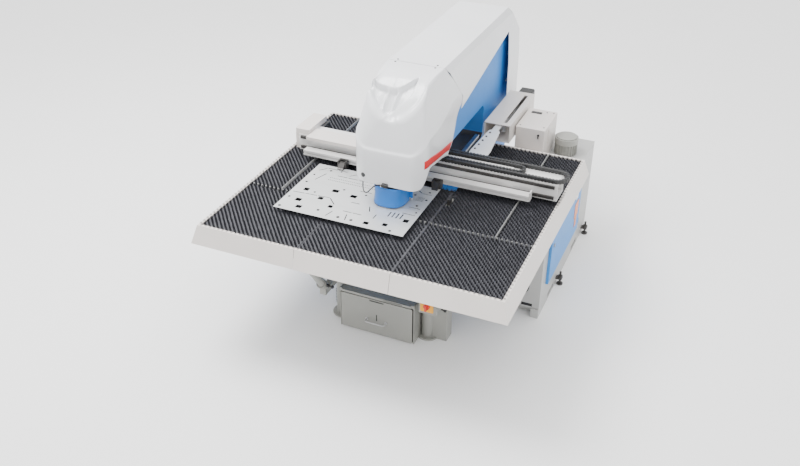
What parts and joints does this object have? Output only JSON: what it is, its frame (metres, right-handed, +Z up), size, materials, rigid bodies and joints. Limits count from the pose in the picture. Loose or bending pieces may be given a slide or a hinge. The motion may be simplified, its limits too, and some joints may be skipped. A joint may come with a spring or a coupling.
{
  "type": "cnc punching machine",
  "caption": "Sheet-metal punching machine: C-frame with one indexing head, brush table round it, sliding beam with clamps, slug drawer and rear cabinet.",
  "frame": {"origin": "on the floor, in the middle of the footprint; the punch axis is 570 mm in front of it", "axes": "+X to the operator's right, +Y back along the arm, +Z up"},
  "size_m": [2.28, 2.96, 1.883],
  "materials": {
    "blue_paint": "satin",
    "cover_paint": "gloss",
    "cream_paint": "satin",
    "grey_paint": "satin",
    "bristle": "matte",
    "machined_steel": "satin",
    "dark_steel": "satin",
    "extrusion": "satin",
    "black_plastic": "satin",
    "black_rubber": "matte",
    "yellow_plate": "satin",
    "red_plastic": "satin",
    "sheet_steel": "satin",
    "blue_plastic": "satin"
  },
  "bodies": {
    "machine_frame": {"c_frame": "blue_paint", "ram_housing": "machined_steel", "slug_housing": "grey_paint", "support_columns": "grey_paint", "table_strut": "grey_paint", "switch_box": "grey_paint", "switch_plate": "yellow_plate", "table_frame_centre": "grey_paint", "table_wings": "grey_paint", "brush_front_centre": "bristle", "brush_front_wings": "bristle", "brush_rear_wings": "bristle", "brush_rear_centre": "bristle", "apron_front": "cream_paint", "side_and_rear_aprons": "cream_paint", "nose_cover": "cover_paint", "arm_cover": "cover_paint", "cover_screws": "machined_steel", "guard_hanger": "machined_steel", "nose_plugs": "black_plastic", "guard_cable": "black_rubber", "y_rails": "machined_steel", "y_drive_housing": "cream_paint", "y_motor": "black_plastic", "cabinet": "grey_paint", "levelling_feet": "dark_steel", "air_box": "cream_paint", "pump_motor": "grey_paint"},
    "y_carriage": {"saddle": "dark_steel", "x_beam": "extrusion", "x_rails": "machined_steel", "beam_tray": "extrusion", "cable_chains": "black_plastic", "end_housing": "cream_paint", "beam_top_cover": "cream_paint", "x_motor": "black_plastic", "y_bracket": "extrusion", "bracket_bolts": "dark_steel"},
    "x_carriage": {"clamp_rail": "extrusion", "clamp_bodies": "dark_steel", "workpiece_sheet": "sheet_steel"},
    "left_jaw": {"clamp_jaw_left": "dark_steel"},
    "right_jaw": {"clamp_jaw_right": "dark_steel"},
    "ram_unit": {"ram": "machined_steel"},
    "index_unit": {"tool_holder": "dark_steel", "multi_tool": "machined_steel", "stripper": "machined_steel"},
    "punch_unit": {"punch": "machined_steel"},
    "die_unit": {"die_holder": "machined_steel"},
    "guard_unit": {"guard": "blue_plastic"},
    "drawer_unit": {"slug_drawer": "grey_paint", "drawer_handle": "machined_steel"},
    "switch_unit": {"switch_knob": "red_plastic"},
    "strut_clamp": {"strut_lever": "black_plastic"},
    "valve_unit": {"valve_lever": "black_plastic"},
    "stop_unit": {"reference_stop": "dark_steel"},
    "door_unit": {"cabinet_door": "blue_paint"},
    "lock_unit": {"door_lock": "machined_steel"},
    "latch_unit": {"air_box_latch": "black_plastic"},
    "screw_unit": {"y_screw": "machined_steel"}
  },
  "joints": [
    {"name": "y_slide", "type": "slide", "parent": "machine_frame", "child": "y_carriage", "axis": [0, 1, 0], "range_m": [-0.1, 0.47]},
    {"name": "y_screw_turn", "type": "hinge", "parent": "machine_frame", "child": "screw_unit", "pos_m": [0.4, 0.83, 1.1], "axis": [0, 1, 0], "continuous": true},
    {"name": "x_slide", "type": "slide", "parent": "y_carriage", "child": "x_carriage", "axis": [1, 0, 0], "range_m": [-0.3, 0.75]},
    {"name": "left_jaw_open", "type": "hinge", "parent": "x_carriage", "child": "left_jaw", "pos_m": [-0.545, -0.324, 1.036], "axis": [-1, 0, 0], "range_deg": [0, 12]},
    {"name": "right_jaw_open", "type": "hinge", "parent": "x_carriage", "child": "right_jaw", "pos_m": [0.22, -0.324, 1.036], "axis": [-1, 0, 0], "range_deg": [0, 12]},
    {"name": "ram_stroke", "type": "slide", "parent": "machine_frame", "child": "ram_unit", "axis": [0, 0, -1], "range_m": [0, 0.03]},
    {"name": "tool_index", "type": "hinge", "parent": "ram_unit", "child": "index_unit", "pos_m": [0, -0.57, 1.09], "axis": [0, 0, 1], "continuous": true},
    {"name": "die_index", "type": "hinge", "parent": "machine_frame", "child": "die_unit", "pos_m": [0, -0.57, 0.95], "axis": [0, 0, 1], "continuous": true},
    {"name": "punch_stroke", "type": "slide", "parent": "index_unit", "child": "punch_unit", "axis": [0, 0, -1], "range_m": [0, 0.009], "stiffness_N_per_m": 2000, "springref_m": -0.004},
    {"name": "guard_swing", "type": "hinge", "parent": "machine_frame", "child": "guard_unit", "pos_m": [0.132, -0.584, 1.08], "axis": [0, 0, 1], "range_deg": [0, 100]},
    {"name": "drawer_slide", "type": "slide", "parent": "machine_frame", "child": "drawer_unit", "axis": [0, -1, 0], "range_m": [0, 0.38]},
    {"name": "main_switch_turn", "type": "hinge", "parent": "machine_frame", "child": "switch_unit", "pos_m": [0.395, -0.93, 0.38], "axis": [0, -1, 0], "range_deg": [-90, 0]},
    {"name": "strut_lever_turn", "type": "hinge", "parent": "machine_frame", "child": "strut_clamp", "pos_m": [-0.306, -1.075, 0.462], "axis": [1, 0, 0], "range_deg": [-60, 30]},
    {"name": "valve_lever_turn", "type": "hinge", "parent": "machine_frame", "child": "valve_unit", "pos_m": [0.491, -0.79, 0.286], "axis": [0, 1, 0], "range_deg": [0, 80]},
    {"name": "stop_rise", "type": "slide", "parent": "machine_frame", "child": "stop_unit", "axis": [0, 0, -1], "range_m": [-0.02, 0]},
    {"name": "door_swing", "type": "hinge", "parent": "machine_frame", "child": "door_unit", "pos_m": [1.058, 0.804, 0.53], "axis": [0, 0, 1], "range_deg": [0, 110]},
    {"name": "door_lock_turn", "type": "hinge", "parent": "door_unit", "child": "lock_unit", "pos_m": [1.07, -0.053, 0.56], "axis": [1, 0, 0], "range_deg": [0, 90]},
    {"name": "air_box_latch_turn", "type": "hinge", "parent": "machine_frame", "child": "latch_unit", "pos_m": [0.7, 0.64, 1.085], "axis": [0, 1, 0], "range_deg": [0, 90]}
  ],
  "couplings": [
    {"joint": "y_screw_turn", "follows": "y_slide", "rad_per_m": 157.08},
    {"joint": "die_index", "follows": "tool_index", "ratio": 1},
    {"joint": "right_jaw_open", "follows": "left_jaw_open", "ratio": 1}
  ]
}
